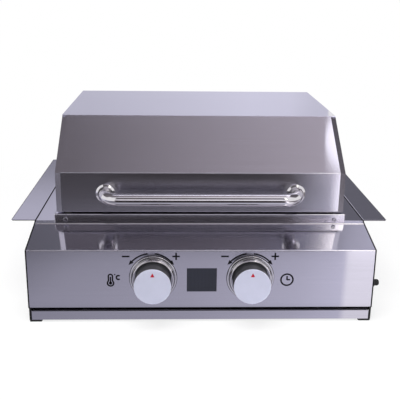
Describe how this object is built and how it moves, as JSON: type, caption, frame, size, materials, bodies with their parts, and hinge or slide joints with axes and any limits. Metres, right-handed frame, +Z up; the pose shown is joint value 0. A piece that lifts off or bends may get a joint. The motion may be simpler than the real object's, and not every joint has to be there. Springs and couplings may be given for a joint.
{
  "type": "built-in electric grill",
  "caption": "Built-in stainless electric grill: hinged sloping hood with tube handle, control box with two knobs and a display, ribbed plate over a heating element, drip drawer below.",
  "frame": {"origin": "on the ground under the middle of the grill's overall box", "axes": "+X to the right as seen from the front, +Y to the back, +Z up; the knobs face -Y"},
  "size_m": [0.631, 0.5456, 0.302],
  "materials": {
    "stainless": "fine brushed stainless sheet",
    "polished_steel": "polished",
    "screw_steel": "plain",
    "hinge_steel": "satin",
    "black_steel": "satin black",
    "plain_sheet": "galvanised",
    "heater_steel": "heat-dulled",
    "cast_plate": "seasoned black",
    "knob_plastic": "dark satin",
    "knob_aluminium": "satin",
    "display_glass": "dark glossy",
    "board_green": "laminate",
    "black_plastic": "moulded",
    "brass": "plain",
    "cable_sheath": "matte",
    "rubber": "matte black"
  },
  "bodies": {
    "body": {"body_wrap": "stainless", "control_panel": "stainless", "rear_panel": "stainless", "flange_left": "stainless", "flange_right": "stainless", "fire_tub": "stainless", "temperature_bezel": "polished_steel", "timer_bezel": "polished_steel", "side_screws": "screw_steel", "rear_screws": "screw_steel", "flange_screws": "screw_steel", "rim_screws": "screw_steel", "deck_hinge_screws": "screw_steel", "hinge_pins": "screw_steel", "lower_hinge_left": "hinge_steel", "lower_hinge_right": "hinge_steel", "base_rail_left": "black_steel", "base_rail_right": "black_steel", "base_rail_rear": "black_steel", "bottom_plate": "plain_sheet", "heat_shield": "plain_sheet", "runner_left": "plain_sheet", "runner_right": "plain_sheet", "plate_brackets": "plain_sheet", "drain_spout": "plain_sheet", "heating_element": "heater_steel", "element_straps": "heater_steel", "temperature_probe": "heater_steel", "cooking_plate": "cast_plate", "display_window": "display_glass", "control_board": "board_green", "display_module": "black_plastic", "encoders": "black_plastic", "terminal_block": "black_plastic", "power_inlet": "black_plastic", "breaker_body": "black_plastic", "breaker_collar": "black_plastic", "board_standoffs": "brass", "encoder_nuts": "brass", "mains_loom": "cable_sheath", "feet": "rubber", "hood_bumpers": "rubber"},
    "hood": {"hood_wrap": "stainless", "hood_side_left": "stainless", "hood_side_right": "stainless", "handle_tube": "polished_steel", "handle_rosettes": "polished_steel", "handle_screws": "screw_steel", "upper_hinge_left": "hinge_steel", "upper_hinge_right": "hinge_steel", "hood_hinge_screws": "screw_steel"},
    "temperature_control": {"temperature_knob": "knob_plastic", "temperature_knob_cap": "knob_aluminium", "temperature_shaft": "heater_steel"},
    "timer_control": {"timer_knob": "knob_plastic", "timer_knob_cap": "knob_aluminium", "timer_shaft": "heater_steel"},
    "drawer": {"drip_tray": "plain_sheet", "drawer_front": "stainless"},
    "button": {"reset_button": "rubber"}
  },
  "joints": [
    {"name": "hood_hinge", "type": "hinge", "parent": "body", "child": "hood", "pos_m": [0, 0.2422, 0.164], "axis": [-1, 0, 0], "range_deg": [0, 95]},
    {"name": "temperature_turn", "type": "hinge", "parent": "body", "child": "temperature_control", "pos_m": [-0.077, -0.2368, 0.0755], "axis": [0, -1, 0], "continuous": true},
    {"name": "timer_turn", "type": "hinge", "parent": "body", "child": "timer_control", "pos_m": [0.077, -0.2368, 0.0755], "axis": [0, -1, 0], "continuous": true},
    {"name": "drawer_slide", "type": "slide", "parent": "body", "child": "drawer", "axis": [0, -1, 0], "range_m": [0, 0.3]},
    {"name": "button_push", "type": "slide", "parent": "body", "child": "button", "axis": [-1, 0, 0], "range_m": [0, 0.003], "stiffness_N_per_m": 800, "springref_m": -0.002}
  ]
}
